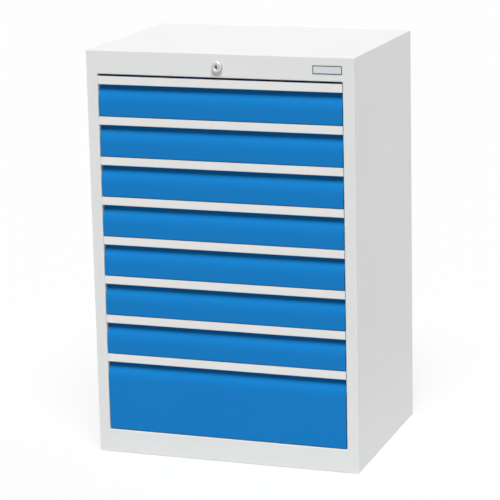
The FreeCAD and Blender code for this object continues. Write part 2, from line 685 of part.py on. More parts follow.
def pieces():
    right_side = side_panel()
    right_uprights = uprights()
    right_rails = cabinet_rails()
    made = {
        "side_panel_left": mirrored(right_side),
        "side_panel_right": right_side,
        "top_panel": top_panel(),
        "base_panel": base_panel(),
        "back_panel": back_panel(),
        "top_rail": top_rail(),
        "plinth_rail": plinth_rail(),
        "uprights_left": mirrored(right_uprights),
        "uprights_right": right_uprights,
        "cabinet_rails_left": mirrored(right_rails),
        "cabinet_rails_right": right_rails,
        "name_plate": name_plate(),
        "lock_housing": lock_housing(),
        "lock_nut": lock_nut(),
        "lock_barrel": lock_barrel(),
        "lock_cam": lock_cam(),
        "lock_link": lock_link(),
        "lock_bar": lock_bar(),
        "lock_guides": lock_guides(),
    }
    for number in range(1, DRAWER_COUNT + 1):
        made[f"drawer_{number}_tray"] = tray_with_lug(number)
        made[f"drawer_{number}_front"] = drawer_front(number)
        made[f"drawer_{number}_grip"] = grip(number)
        made[f"drawer_{number}_rails"] = drawer_rails(number)
        made[f"runner_{number}_middle"] = middle_rails(number)
    return made


os.makedirs("parts", exist_ok=True)
for name, shape in pieces().items():
    shape.exportStep(f"parts/{name}.step")
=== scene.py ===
import json
import math
import bmesh
import bpy
from mathutils import Matrix, Vector


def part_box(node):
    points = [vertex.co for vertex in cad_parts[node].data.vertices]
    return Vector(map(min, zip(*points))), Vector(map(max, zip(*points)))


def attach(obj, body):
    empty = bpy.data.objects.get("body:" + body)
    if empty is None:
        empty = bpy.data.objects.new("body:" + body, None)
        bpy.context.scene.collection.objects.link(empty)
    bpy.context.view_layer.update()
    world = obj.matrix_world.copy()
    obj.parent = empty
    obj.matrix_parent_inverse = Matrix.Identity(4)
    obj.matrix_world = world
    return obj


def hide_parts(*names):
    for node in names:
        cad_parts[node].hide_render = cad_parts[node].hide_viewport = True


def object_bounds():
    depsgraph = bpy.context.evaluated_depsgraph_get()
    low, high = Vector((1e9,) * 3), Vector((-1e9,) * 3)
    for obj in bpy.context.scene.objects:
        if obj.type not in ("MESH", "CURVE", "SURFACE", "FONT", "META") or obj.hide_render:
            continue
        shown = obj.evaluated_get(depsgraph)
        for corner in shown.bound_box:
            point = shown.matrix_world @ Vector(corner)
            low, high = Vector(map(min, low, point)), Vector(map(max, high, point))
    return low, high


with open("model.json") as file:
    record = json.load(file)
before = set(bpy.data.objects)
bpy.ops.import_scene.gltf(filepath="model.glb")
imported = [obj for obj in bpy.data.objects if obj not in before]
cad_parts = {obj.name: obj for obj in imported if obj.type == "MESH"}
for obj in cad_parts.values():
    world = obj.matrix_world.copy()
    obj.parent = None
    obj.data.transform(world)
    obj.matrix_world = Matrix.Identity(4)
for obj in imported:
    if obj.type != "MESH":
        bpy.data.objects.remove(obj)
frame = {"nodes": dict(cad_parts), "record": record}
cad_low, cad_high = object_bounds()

# Steel drawer cabinet: finishes, small fittings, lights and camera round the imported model. Metres.

MM = 0.001
TOUCHING = 1e-6              # points closer than this are one point
PARALLEL = 1e-12             # cross product under which two lines never meet
WHITE = (1.0, 1.0, 1.0)

# ---- camera ----
CAMERA_AT = (1.7907, -5.0214, 1.7505)
CAMERA_AZIMUTH = 18.417
CAMERA_ELEVATION = 12.081
CAMERA_ROLL = 0.991
CAMERA_LENS = 155.39
CAMERA_SENSOR = 36.0
CAMERA_SHIFT = (-0.1, -0.1)

# ---- light ----
WORLD_LEVEL = 0.02
LAMPS = {                    # strength, azimuth from the front towards the right, elevation, softness
    "key": (4.2, 20.0, 61.5, 30.0),
    "side": (0.75, 115.0, 5.0, 40.0),
    "back": (0.45, 150.0, 22.0, 40.0),
    "left": (0.7, 250.0, 10.0, 30.0),
}
FLOOR_REACH = 40.0
FLOOR_SHADOW = 0.22          # share of the floor's brightness that a shadow can take away

# ---- paints and metals, in linear light ----
BODY_GREY = (0.665, 0.675, 0.668)
GRIP_GREY = (0.70, 0.70, 0.685)
TRAY_GREY = (0.60, 0.61, 0.605)
FRONT_BLUE = (0.008, 0.174, 0.475)
ZINC = (0.62, 0.64, 0.66)
BRIGHTER = 1.15              # balls and rivets against the rails' zinc
SPANGLE_ZINC = (0.55, 0.57, 0.59)
PLATE_SILVER = (0.58, 0.62, 0.66)
PLATE_RIM_GREY = (0.045, 0.043, 0.042)
NICKEL = (0.58, 0.58, 0.57)
GUIDE_BLACK = (0.03, 0.03, 0.033)
# painted shade: near-black colour standing in for the keyway's shadow
KEYWAY_SHADE_BLACK = (0.006, 0.006, 0.007)
FLOOR_WHITE = (0.72, 0.72, 0.72)

# ---- small pieces ----
TRAY_SHEET = 1.0 * MM
TRAY_HEM = (2.0 * MM, 10.0 * MM)        # thickness and height of the doubled edge
SLOT_PITCH = 25.0 * MM                  # slots that dividers hook into
SLOT_WIDTH = 3.0 * MM
SLOT_HEIGHT = 40.0 * MM
SLOT_SILL = 12.0 * MM                   # under the lowest slots and between rows
LUG_RISE = 34.5 * MM                    # lock lug above the runner's middle
LUG_HEIGHT = 8.0 * MM
LUG_SHEET = 1.5 * MM
LUG_REACH = 11.0 * MM
LUG_BACK = 8.3 * MM                     # from the tray's front
LUG_LENGTH = 24.0 * MM
FRONT_SHEET = 1.2 * MM
FRONT_FOLD = 1.2 * MM                   # outside radius of a front's sharp folds
GRIP_LIP = 2.0 * MM                     # the grip strip's part in front of the flange
RECESS_REACH = 33.0 * MM                # finger recess below the grip strip
RECESS_FOLD = 50.0 * MM                 # wide fold between the recess and the face
BALL_RADIUS = 1.35 * MM
BALL_COUNT = 9
BALL_INSET = 3.5 * MM                   # from the outer face of the middle rail
OUTER_BALL_Z = 19.9 * MM                # from the runner's middle
INNER_BALL_Z = 15.9 * MM
OUTER_CAGE = (280.0 * MM, 430.0 * MM)   # from the runner's front end
INNER_CAGE = (20.0 * MM, 170.0 * MM)
RIVET_RADIUS = 3.0 * MM
RIVET_HEIGHT = 0.9 * MM
SCREW_RADIUS = 3.6 * MM
SCREW_HEIGHT = 1.8 * MM
HEAD_PROFILE = ((1.0, 0.0), (1.0, 0.35), (0.82, 0.75), (0.45, 1.0))     # shares of radius and height
RAIL_RIVETS = (0.06, 0.34, 0.66, 0.94)      # a drawer rail's rivets, as shares of the tray's length
FRONT_SCREWS = (0.35, 0.85)                 # a front's screws, as shares of the tray's half width
UPRIGHT_RIVET_RISE = 7.0 * MM               # above and below the runner's middle
BACK_RIVET_COUNT = 9
BACK_RIVET_BOTTOM = 45.0 * MM
BACK_RIVET_PITCH = 114.0 * MM
RAIL_SHEET = 1.2 * MM
UPRIGHT_WIDTH = 40.0 * MM
REAR_FLANGE = 20.0 * MM                 # folded rear edge of a side panel
PLATE_RIM = 1.7 * MM
PLATE_RECESS = 0.4 * MM
EDGE_BREAK = 0.25 * MM                  # broken edges of cut sheet

# ---- lock ----
LOCK_BORE = 6.05 * MM                   # radii of the housing's bore and of its threaded neck
LOCK_NECK = 9.0 * MM
# The sunk ring at the bore's mouth, as steps outwards from the bore and back from the face.
MOUTH_RING = ((0.0, 0.9 * MM), (0.5 * MM, 0.5 * MM), (1.3 * MM, 0.5 * MM), (1.8 * MM, 0.0))
ROSETTE_ROUND = 2.2 * MM                # rounded rim of the rosette
ROSETTE_RIM_STEPS = 6
ROSETTE_SIDES = 96
THREAD_PITCH = 1.0 * MM
THREAD_DEPTH = 0.5 * MM
THREAD_START = 1.5 * MM                 # from the rosette, and from the neck's end
THREAD_END = 1.2 * MM
BARREL_RADIUS = 5.95 * MM
BARREL_SIDES = 72
BARREL_BEVEL = 0.5 * MM
BARREL_TAIL = 2.5 * MM                  # square end that carries the cam
TAIL_SIZE = 7.0 * MM
KEYWAY_WIDTH = 3.0 * MM
KEYWAY_HEIGHT = 10.4 * MM
KEY_BIT_WIDTH = 1.8 * MM
KEY_BIT_HEIGHT = 4.4 * MM
KEYWAY_DEPTH = 12.0 * MM
KEYWAY_FLARE = 0.2 * MM                 # how far the keyway opens at the face
FLARE_DEPTH = 0.25 * MM
SHADE_FILL_START = 0.3 * MM                   # painted shade filling the keyway, from the face
SHADE_FILL_END = 0.5 * MM                     # and from the keyway's end
SHADE_FILL_FIT = 0.99                         # share of the keyway's section

nodes = frame["nodes"]
DRAWERS = range(1, 1 + sum(name.endswith("_tray") for name in nodes))


# ---- shader expressions ----

MIX_AMOUNT, MIX_FIRST, MIX_SECOND = 0, 6, 7     # sockets of a Mix node that mixes colours
MIX_COLOUR = 2                                  # its output
SEEN_RAYS = ("Is Camera Ray", "Is Glossy Ray", "Is Transmission Ray")


class Socket:
    """A node's output; arithmetic on it adds Math nodes."""

    def __init__(self, shader, output):
        self.shader = shader
        self.output = output

    def _math(self, operation, first, second):
        return self.shader.node("ShaderNodeMath", {"operation": operation}, {0: first, 1: second})

    def __add__(self, other):
        return self._math("ADD", self, other)

    __radd__ = __add__

    def __mul__(self, other):
        return self._math("MULTIPLY", self, other)

    __rmul__ = __mul__


class Shader:
    """The nodes of a material or of the world, and the one way they are added."""

    def __init__(self, owner):
        self.owner = owner
        owner.use_nodes = True
        self.tree = owner.node_tree
        self.tree.nodes.clear()

    def node(self, kind, settings=None, inputs=None, output=0):
        """Adds a node: its settings first, then its inputs, each a value or a link; gives one output."""
        made = self.tree.nodes.new(kind)
        for key, value in (settings or {}).items():
            setattr(made, key, value)
        for key, value in (inputs or {}).items():
            if isinstance(value, Socket):
                self.tree.links.new(value.output, made.inputs[key])
            else:
                made.inputs[key].default_value = value
        return Socket(self, made.outputs[output]) if len(made.outputs) else made

    def place(self, scale=(1, 1, 1)):
        """Object coordinates in metres, stretched by scale."""
        where = self.node("ShaderNodeTexCoord", output="Object")
        return self.node("ShaderNodeMapping", inputs={"Vector": where, "Scale": scale})

    def noise(self, scale, detail=2.0, stretch=(1, 1, 1), roughness=0.5):
        """Cloudy value from 0 to 1; scale counts the clouds in a metre."""
        return self.node("ShaderNodeTexNoise", inputs={"Vector": self.place(stretch), "Scale": scale,
                                                       "Detail": detail, "Roughness": roughness})

    def mixed(self, amount, first, second):
        """A colour between two, by a value from 0 to 1."""
        colours = {MIX_AMOUNT: amount, MIX_FIRST: rgba(first), MIX_SECOND: rgba(second)}
        return self.node("ShaderNodeMix", {"data_type": "RGBA"}, colours, output=MIX_COLOUR)

    def between(self, value, low, high, out_low=0.0, out_high=1.0):
        """A value's place from low to high, carried over to the other two."""
        return self.node("ShaderNodeMapRange", {"clamp": True},
                         {0: value, 1: low, 2: high, 3: out_low, 4: out_high})

    def larger(self, first, second):
        """The larger of two values."""
        return self.node("ShaderNodeMath", {"operation": "MAXIMUM"}, {0: first, 1: second})

    def seen(self):
        """1 for what is seen directly, in gloss or through glass, and 0 for the light on the object."""
        camera, glossy, through = [self.node("ShaderNodeLightPath", output=ray) for ray in SEEN_RAYS]
        return self.larger(self.larger(camera, glossy), through)

    def bump(self, height, distance):
        """Relief that is distance deep in metres."""
        return self.node("ShaderNodeBump", inputs={"Height": height, "Distance": distance})

    def surface(self, **inputs):
        """Principled surface; names are given with underscores for spaces."""
        named = {key.replace("_", " "): value for key, value in inputs.items()}
        shown = self.node("ShaderNodeBsdfPrincipled", inputs=named)
        self.node("ShaderNodeOutputMaterial", inputs={"Surface": shown})
        return self.owner


def rgba(colour):
    """A colour with its alpha."""
    return tuple(colour) + (1.0,) * (4 - len(colour))


def tinted(colour, factor):
    """A colour made lighter or darker."""
    return tuple(min(channel * factor, 1.0) for channel in colour)


# ---- finishes ----

def powder_coat(name, colour, roughness=0.42, grain=1.0, depth=0.012 * MM, shine=0.25):
    """Sprayed and baked paint: faint clouds in tone and gloss, and a fine orange-peel skin."""
    shader = Shader(bpy.data.materials.new(name))
    clouds = shader.noise(3.5, detail=3.0)
    specks = shader.noise(420.0 * grain, detail=1.0)
    tone = shader.between(clouds * 0.7 + specks * 0.3, 0.35, 0.65)
    base = shader.mixed(tone, tinted(colour, 0.985), tinted(colour, 1.015))
    gloss = shader.between(shader.noise(9.0, detail=4.0), 0.3, 0.7, roughness - 0.04, roughness + 0.04)
    peel = shader.noise(650.0 * grain, detail=2.0, roughness=0.45)
    return shader.surface(Base_Color=base, Roughness=gloss, Normal=shader.bump(peel, depth),
                          Specular_IOR_Level=shine)


def rolled_zinc(name, colour, roughness=0.34):
    """Zinc-plated rolled section: fine draw lines along the runner and cloudy passivation."""
    shader = Shader(bpy.data.materials.new(name))
    lines = shader.noise(60.0, detail=3.0, stretch=(60, 0.6, 60))
    clouds = shader.noise(22.0, detail=4.0)
    base = shader.mixed(shader.between(clouds, 0.35, 0.65), tinted(colour, 0.90), tinted(colour, 1.08))
    gloss = shader.between(clouds * 0.5 + lines * 0.5, 0.3, 0.7, roughness - 0.09, roughness + 0.09)
    return shader.surface(Base_Color=base, Metallic=1.0, Roughness=gloss,
                          Normal=shader.bump(lines, 0.01 * MM))


def spangled_zinc(name, colour):
    """Hot-dip zinc with its crystal spangle."""
    shader = Shader(bpy.data.materials.new(name))
    cells = shader.node("ShaderNodeTexVoronoi", {"feature": "F1"}, {"Vector": shader.place(),
                                                                    "Scale": 150.0}, output="Color")
    grey = shader.node("ShaderNodeSeparateColor", inputs={"Color": cells})
    wear = shader.noise(30.0, detail=5.0)
    tone = grey * 0.6 + wear * 0.4
    base = shader.mixed(shader.between(tone, 0.25, 0.75), tinted(colour, 0.78), tinted(colour, 1.15))
    gloss = shader.between(tone, 0.2, 0.8, 0.50, 0.28)
    return shader.surface(Base_Color=base, Metallic=1.0, Roughness=gloss,
                          Normal=shader.bump(grey, 0.01 * MM))


def turned_nickel(name, colour, roughness=0.52):
    """Nickel-plated turned part: concentric tool marks round the lock axis."""
    shader = Shader(bpy.data.materials.new(name))
    where = shader.node("ShaderNodeTexCoord", output="Object")
    centred = shader.node("ShaderNodeMapping",
                          inputs={"Vector": where, "Location": (0, 0, -lock_centre()[1])})
    rings = shader.node("ShaderNodeTexWave", {"wave_type": "RINGS", "rings_direction": "Y"},
                        {"Vector": centred, "Scale": 900.0, "Distortion": 1.5, "Detail": 2.0},
                        output="Fac")
    smudge = shader.noise(160.0, detail=4.0)
    gloss = shader.between(smudge, 0.3, 0.7, roughness - 0.06, roughness + 0.10)
    base = shader.mixed(smudge, tinted(colour, 0.94), tinted(colour, 1.04))
    return shader.surface(Base_Color=base, Metallic=1.0, Roughness=gloss,
                          Normal=shader.bump(rings, 0.004 * MM))


def plate_foil(name, colour):
    """Blank name plate: silvery face brushed along its length."""
    shader = Shader(bpy.data.materials.new(name))
    brush = shader.noise(40.0, detail=3.0, stretch=(0.5, 40, 40))
    drift = shader.noise(25.0, detail=2.0)
    tone = brush * 0.5 + drift * 0.5
    base = shader.mixed(shader.between(tone, 0.3, 0.7), tinted(colour, 0.93), tinted(colour, 1.07))
    gloss = shader.between(brush, 0.3, 0.7, 0.38, 0.52)
    return shader.surface(Base_Color=base, Metallic=0.25, Roughness=gloss,
                          Normal=shader.bump(brush, 0.006 * MM))


def moulded_plastic(name, colour, roughness=0.5, shine=0.4):
    """Injection-moulded guide with a fine spark-eroded skin; also the near-black painted shade in the
    keyway.
    """
    shader = Shader(bpy.data.materials.new(name))
    skin = shader.noise(1100.0, detail=2.0)
    drift = shader.noise(40.0, detail=3.0)
    base = shader.mixed(drift, tinted(colour, 0.85), tinted(colour, 1.2))
    gloss = shader.between(drift, 0.3, 0.7, roughness - 0.05, roughness + 0.08)
    return shader.surface(Base_Color=base, Roughness=gloss, Normal=shader.bump(skin, 0.02 * MM),
                          Specular_IOR_Level=shine)


def floor_finish():
    """Pale floor: bright where it is seen, with part of its shadows kept, and matt to all other light."""
    shader = Shader(bpy.data.materials.new("floor_white"))
    matt = shader.node("ShaderNodeBsdfDiffuse", inputs={"Color": rgba(FLOOR_WHITE)})
    white = shader.node("ShaderNodeEmission", inputs={"Color": rgba(WHITE), "Strength": 1.0})
    bright = shader.node("ShaderNodeMixShader", inputs={0: 1.0 - FLOOR_SHADOW, 1: matt, 2: white})
    shown = shader.node("ShaderNodeMixShader", inputs={0: shader.seen(), 1: matt, 2: bright})
    shader.node("ShaderNodeOutputMaterial", inputs={"Surface": shown})
    return shader.owner


# ---- meshes ----

class Sheet:
    """Collects quads and prisms into one mesh."""

    def __init__(self):
        self.mesh = bmesh.new()

    def face(self, points):
        return self.mesh.faces.new([self.mesh.verts.new(point) for point in points])

    def block(self, low, high):
        """Box between two corners."""
        xs, ys, zs = zip(low, high)
        corner = [[[self.mesh.verts.new((x, y, z)) for z in zs] for y in ys] for x in xs]
        for a in (0, 1):
            self.quad(corner[a][0][0], corner[a][0][1], corner[a][1][1], corner[a][1][0], a == 0)
            self.quad(corner[0][a][0], corner[1][a][0], corner[1][a][1], corner[0][a][1], a == 0)
            self.quad(corner[0][0][a], corner[0][1][a], corner[1][1][a], corner[1][0][a], a == 0)

    def quad(self, a, b, c, d, outward):
        """One face, turned over where it isn't outward."""
        self.mesh.faces.new((a, b, c, d) if outward else (d, c, b, a))

    def turned(self, outline, centre, steps):
        """Surface of revolution about a line along Y: outline is (radius, y) points, open or closed."""
        rings = []
        for radius, y in outline:
            ring = []
            for step in range(steps):
                angle = 2 * math.pi * step / steps
                point = (centre[0] + radius * math.cos(angle), y, centre[1] + radius * math.sin(angle))
                ring.append(self.mesh.verts.new(point))
            rings.append(ring)
        self.skin(rings)

    def pierced(self, us, vs, holes, front, back, place):
        """Flat sheet of cells between the break lines us and vs, with some cells left open."""
        made = {}

        def corner(iu, iv, depth):
            key = (iu, iv, depth)
            if key not in made:
                made[key] = self.mesh.verts.new(place(us[iu], vs[iv], depth))
            return made[key]

        def solid(iu, iv):
            return 0 <= iu < len(us) - 1 and 0 <= iv < len(vs) - 1 and (iu, iv) not in holes

        for iu in range(len(us) - 1):
            for iv in range(len(vs) - 1):
                if not solid(iu, iv):
                    continue
                ring = ((iu, iv), (iu + 1, iv), (iu + 1, iv + 1), (iu, iv + 1))
                for depth in (front, back):
                    self.mesh.faces.new([corner(*at, depth) for at in ring])
                beside = ((iu, iv - 1), (iu + 1, iv), (iu, iv + 1), (iu - 1, iv))
                for side, (first, second) in zip(beside, zip(ring, ring[1:] + ring[:1])):
                    if not solid(*side):
                        self.mesh.faces.new([corner(*first, front), corner(*second, front),
                                             corner(*second, back), corner(*first, back)])

    def ball(self, radius, centre):
        """Ball of a runner's cage."""
        bmesh.ops.create_icosphere(self.mesh, subdivisions=2, radius=radius,
                                   matrix=Matrix.Translation(centre))

    def head(self, radius, height, centre, outwards, steps=20):
        """Low domed rivet head on a face."""
        axis = Vector(outwards)
        across = axis.orthogonal().normalized()
        up = axis.cross(across)
        rings = []
        for share, lift in HEAD_PROFILE:
            middle = Vector(centre) + axis * height * lift
            ring = []
            for step in range(steps):
                angle = 2 * math.pi * step / steps
                spoke = across * math.cos(angle) + up * math.sin(angle)
                ring.append(self.mesh.verts.new(middle + spoke * radius * share))
            rings.append(ring)
        self.skin(rings)
        self.mesh.faces.new(rings[-1])
        self.mesh.faces.new(rings[0][::-1])

    def bar(self, outline, start, end):
        """Bar along X with an outline of (y, z) points."""
        rings = [[self.mesh.verts.new((x, y, z)) for y, z in outline] for x in (start, end)]
        self.skin(rings)
        self.mesh.faces.new(rings[0][::-1])
        self.mesh.faces.new(rings[1])

    def skin(self, rings):
        """Quads between one closed ring of points and the next."""
        for near, far in zip(rings, rings[1:]):
            for index in range(len(near)):
                after = (index + 1) % len(near)
                self.mesh.faces.new((near[index], near[after], far[after], far[index]))


def piece(name, sheet, body, material, replaced=(), smooth_below=35.0, bevel=0.0):
    """Makes an object of a sheet's mesh, rides it on its body and gives it its finish."""
    bmesh.ops.remove_doubles(sheet.mesh, verts=sheet.mesh.verts, dist=TOUCHING)
    bmesh.ops.recalc_face_normals(sheet.mesh, faces=sheet.mesh.faces)
    data = bpy.data.meshes.new(name)
    sheet.mesh.to_mesh(data)
    sheet.mesh.free()
    data.polygons.foreach_set("use_smooth", [True] * len(data.polygons))
    data.set_sharp_from_angle(angle=math.radians(smooth_below))
    shape = bpy.data.objects.new(name, data)
    bpy.context.scene.collection.objects.link(shape)
    data.materials.append(material)
    if bevel:
        edge = shape.modifiers.new("edges", "BEVEL")
        edge.width = bevel
        edge.segments = 2
        edge.limit_method = "ANGLE"
    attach(shape, body)
    if replaced:
        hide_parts(*replaced)
    return shape


def dress(name, material):
    """Gives a CAD node its finish."""
    shape = nodes[name]
    if not shape.material_slots:
        shape.data.materials.append(material)
    for material_slot in shape.material_slots:
        material_slot.link = "OBJECT"
        material_slot.material = material


# ---- small pieces ----

def slot_breaks(low, high):
    """Break lines across a wall, with the slots centred on their pitch."""
    count = int((high - low - SLOT_PITCH) / SLOT_PITCH)
    first = (low + high - count * SLOT_PITCH) / 2
    breaks = [low]
    for index in range(count + 1):
        middle = first + index * SLOT_PITCH
        breaks += [middle - SLOT_WIDTH / 2, middle + SLOT_WIDTH / 2]
    return breaks + [high]


def row_breaks(low, high):
    """Break lines up a wall: one row of slots, or several on a deep drawer."""
    rows = max(1, int((high - low) / (SLOT_HEIGHT + SLOT_SILL)))
    breaks = [low]
    for row in range(rows):
        bottom = low + SLOT_SILL + row * (SLOT_HEIGHT + SLOT_SILL)
        breaks += [bottom, bottom + SLOT_HEIGHT]
    return breaks + [high]


def odd_cells(us, vs):
    """The cells of a wall that are slots."""
    return {(iu, iv) for iu in range(1, len(us) - 1, 2) for iv in range(1, len(vs) - 1, 2)}


def make_tray(number):
    """Slotted drawer tray with doubled edges and the lug that the lock bar's tooth catches."""
    low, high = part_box(f"drawer_{number}_tray")
    half = -low[0]
    front, back, bottom, top = low[1], high[1], low[2], high[2]
    sheet = Sheet()
    sheet.block((-half, front, bottom), (half, back, bottom + TRAY_SHEET))
    inner = half - TRAY_SHEET
    hem_bottom = top - TRAY_HEM[1]
    rows = row_breaks(bottom + TRAY_SHEET, hem_bottom)
    along = slot_breaks(front, back)
    for side in (-1, 1):
        sheet.pierced(along, rows, odd_cells(along, rows), side * half, side * inner,
                      lambda u, v, depth: (depth, u, v))
        edges = sorted((side * half, side * (half - TRAY_HEM[0])))
        sheet.block((edges[0], front, hem_bottom), (edges[1], back, top))
    across = slot_breaks(-inner, inner)
    for near, far in ((front, front + TRAY_SHEET), (back - TRAY_SHEET, back)):
        sheet.pierced(across, rows, odd_cells(across, rows), near, far,
                      lambda u, v, depth: (u, depth, v))
        sheet.block((-inner + TRAY_SHEET, near, hem_bottom), (inner - TRAY_SHEET, far, top))
    lug_y, lug_bottom = front + LUG_BACK, runner_middle(number) + LUG_RISE
    lug_top = lug_bottom + LUG_HEIGHT
    sheet.block((half, lug_y, lug_bottom), (half + LUG_SHEET, lug_y + LUG_LENGTH, lug_top))
    sheet.block((half, lug_y, lug_bottom), (half + LUG_REACH, lug_y + LUG_SHEET, lug_top))
    piece(f"drawer_{number}_tray_sheet", sheet, f"drawer_{number}", finishes["tray_paint"],
          replaced=[f"drawer_{number}_tray"], bevel=EDGE_BREAK)


def folded_sides(path, radii, thickness, steps=8):
    """Both faces of a sheet folded along path and lying on its left; radii are those of left turns."""
    points = [Vector(point) for point in path]
    ways = [(after - before).normalized() for before, after in zip(points, points[1:])]
    near = [points[0]]
    far = [points[0] + ways[0].orthogonal() * thickness]
    for point, radius, way, onward in zip(points[1:], radii, ways, ways[1:]):
        left, left_onward = way.orthogonal(), onward.orthogonal()
        if way.cross(onward) <= 0:
            radius = 0.0
        turn = way.angle_signed(onward)
        start = point - way * radius * math.tan(abs(turn) / 2)
        for step in range(steps + 1):
            normal = left.slerp(left_onward, step / steps)
            fold = start + (left - normal) * radius
            near.append(fold)
            far.append(fold + normal * thickness)
    near.append(points[-1])
    far.append(points[-1] + ways[-1].orthogonal() * thickness)
    return near, far


def make_front(number):
    """Drawer front: one sheet with its flanges and the wide fold of the recess, and closed ends."""
    low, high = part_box(f"drawer_{number}_front")
    grip_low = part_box(f"drawer_{number}_grip")[0]
    face, back, bottom, half = low[1], high[1], low[2], high[0]
    under_flange, riser, brow = high[2] - FRONT_SHEET, back - FRONT_SHEET, grip_low[2]
    path = [(face + GRIP_LIP, under_flange), (riser, under_flange), (riser, brow),
            (face, brow - RECESS_REACH), (face, bottom), (back, bottom)]
    near, far = folded_sides(path, [0.0, 0.0, RECESS_FOLD, FRONT_FOLD], FRONT_SHEET)
    sheet = Sheet()
    sheet.bar(near + far[::-1], -half, half)
    enclosed = [point for point in far if point.y <= brow + TOUCHING]
    for start, end in ((-half, FRONT_SHEET - half), (half - FRONT_SHEET, half)):
        sheet.bar(enclosed, start, end)
    piece(f"drawer_{number}_front_sheet", sheet, f"drawer_{number}",
          finishes["front_paint"], replaced=[f"drawer_{number}_front"], smooth_below=25)


def runner_middle(number):
    """Height of a runner's middle."""
    low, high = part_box(f"runner_{number}_middle")
    return (low[2] + high[2]) / 2


def make_balls(number):
    """Steel balls in the cages of a pair of runners."""
    low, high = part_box(f"runner_{number}_middle")
    across, z = high[0] - BALL_INSET, runner_middle(number)
    sheet = Sheet()
    for (start, end), rise in ((OUTER_CAGE, OUTER_BALL_Z), (INNER_CAGE, INNER_BALL_Z)):
        for index in range(BALL_COUNT):
            y = low[1] + start + (end - start) * (index + 0.5) / BALL_COUNT
            for side in (-1, 1):
                for way in (-1, 1):
                    sheet.ball(BALL_RADIUS, (side * across, y, z + way * rise))
    piece(f"runner_{number}_balls", sheet, f"runner_{number}", finishes["bright_steel"],
          smooth_below=80)


def make_drawer_rivets(number):
    """Rivet heads that hold a drawer's rails, and the screws of its front, seen inside the tray."""
    low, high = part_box(f"drawer_{number}_tray")
    inner, z = -low[0] - TRAY_SHEET, runner_middle(number)
    sheet = Sheet()
    for side in (-1, 1):
        for share in RAIL_RIVETS:
            y = low[1] + (high[1] - low[1]) * share
            sheet.head(RIVET_RADIUS, RIVET_HEIGHT, (side * inner, y, z), (-side, 0, 0))
        for share in FRONT_SCREWS:
            sheet.head(SCREW_RADIUS, SCREW_HEIGHT, (side * inner * share, low[1] + TRAY_SHEET, z),
                       (0, 1, 0))
    piece(f"drawer_{number}_rivets", sheet, f"drawer_{number}", finishes["bright_steel"],
          smooth_below=50)


def make_upright_rivets():
    """Rivet heads, two where each cabinet rail crosses an upright."""
    low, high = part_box("uprights_right")
    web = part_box("cabinet_rails_right")[1][0] - RAIL_SHEET
    sheet = Sheet()
    for number in DRAWERS:
        for y in (low[1] + UPRIGHT_WIDTH / 2, high[1] - UPRIGHT_WIDTH / 2):
            for rise in (-UPRIGHT_RIVET_RISE, UPRIGHT_RIVET_RISE):
                for side in (-1, 1):
                    middle = (side * web, y, runner_middle(number) + rise)
                    sheet.head(RIVET_RADIUS, RIVET_HEIGHT, middle, (-side, 0, 0))
    piece("rail_rivets", sheet, "cabinet", finishes["bright_steel"], smooth_below=50)


def make_back_rivets():
    """Painted rivet heads, a row down each side of the back panel."""
    across = cad_high[0] - REAR_FLANGE / 2
    sheet = Sheet()
    for index in range(BACK_RIVET_COUNT):
        z = BACK_RIVET_BOTTOM + index * BACK_RIVET_PITCH
        for side in (-1, 1):
            sheet.head(RIVET_RADIUS, RIVET_HEIGHT, (side * across, cad_high[1], z), (0, 1, 0))
    piece("back_rivets", sheet, "cabinet", finishes["body_paint"], smooth_below=50)


def lock_centre():
    """The lock's axis: its place across and up."""
    low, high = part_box("lock_housing")
    return (low[0] + high[0]) / 2, (low[2] + high[2]) / 2


def make_rosette():
    """Turned rosette in one piece with its threaded neck."""
    low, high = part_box("lock_housing")
    face, back = low[1], high[1]
    radius = (high[0] - low[0]) / 2
    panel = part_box("top_rail")[0][1]
    outline = [(LOCK_BORE, back)]
    outline += [(LOCK_BORE + out, face + depth) for out, depth in MOUTH_RING]
    for step in range(ROSETTE_RIM_STEPS + 1):
        turn = math.pi / 2 * step / ROSETTE_RIM_STEPS
        outline.append((radius - ROSETTE_ROUND * (1 - math.sin(turn)),
                        face + ROSETTE_ROUND * (1 - math.cos(turn))))
    outline += [(radius, panel), (LOCK_NECK, panel)]
    y = panel + THREAD_START
    while y < back - THREAD_END:
        outline += [(LOCK_NECK - THREAD_DEPTH, y), (LOCK_NECK, y + THREAD_PITCH / 2)]
        y += THREAD_PITCH
    outline += [(LOCK_NECK, back), (LOCK_BORE, back)]
    sheet = Sheet()
    sheet.turned(outline, lock_centre(), ROSETTE_SIDES)
    piece("lock_rosette", sheet, "cabinet", finishes["lock_chrome"],
          replaced=["lock_housing"])


def keyway_outline():
    """The keyway's corners about the lock's axis: an upright slot with the key's bit on its left."""
    side, top, bit = KEYWAY_WIDTH / 2, KEYWAY_HEIGHT / 2, KEY_BIT_HEIGHT / 2
    left = -side - KEY_BIT_WIDTH
    return [(-side, top), (-side, bit), (left, bit), (left, -bit), (-side, -bit), (-side, -top),
            (side, -top), (side, top)]


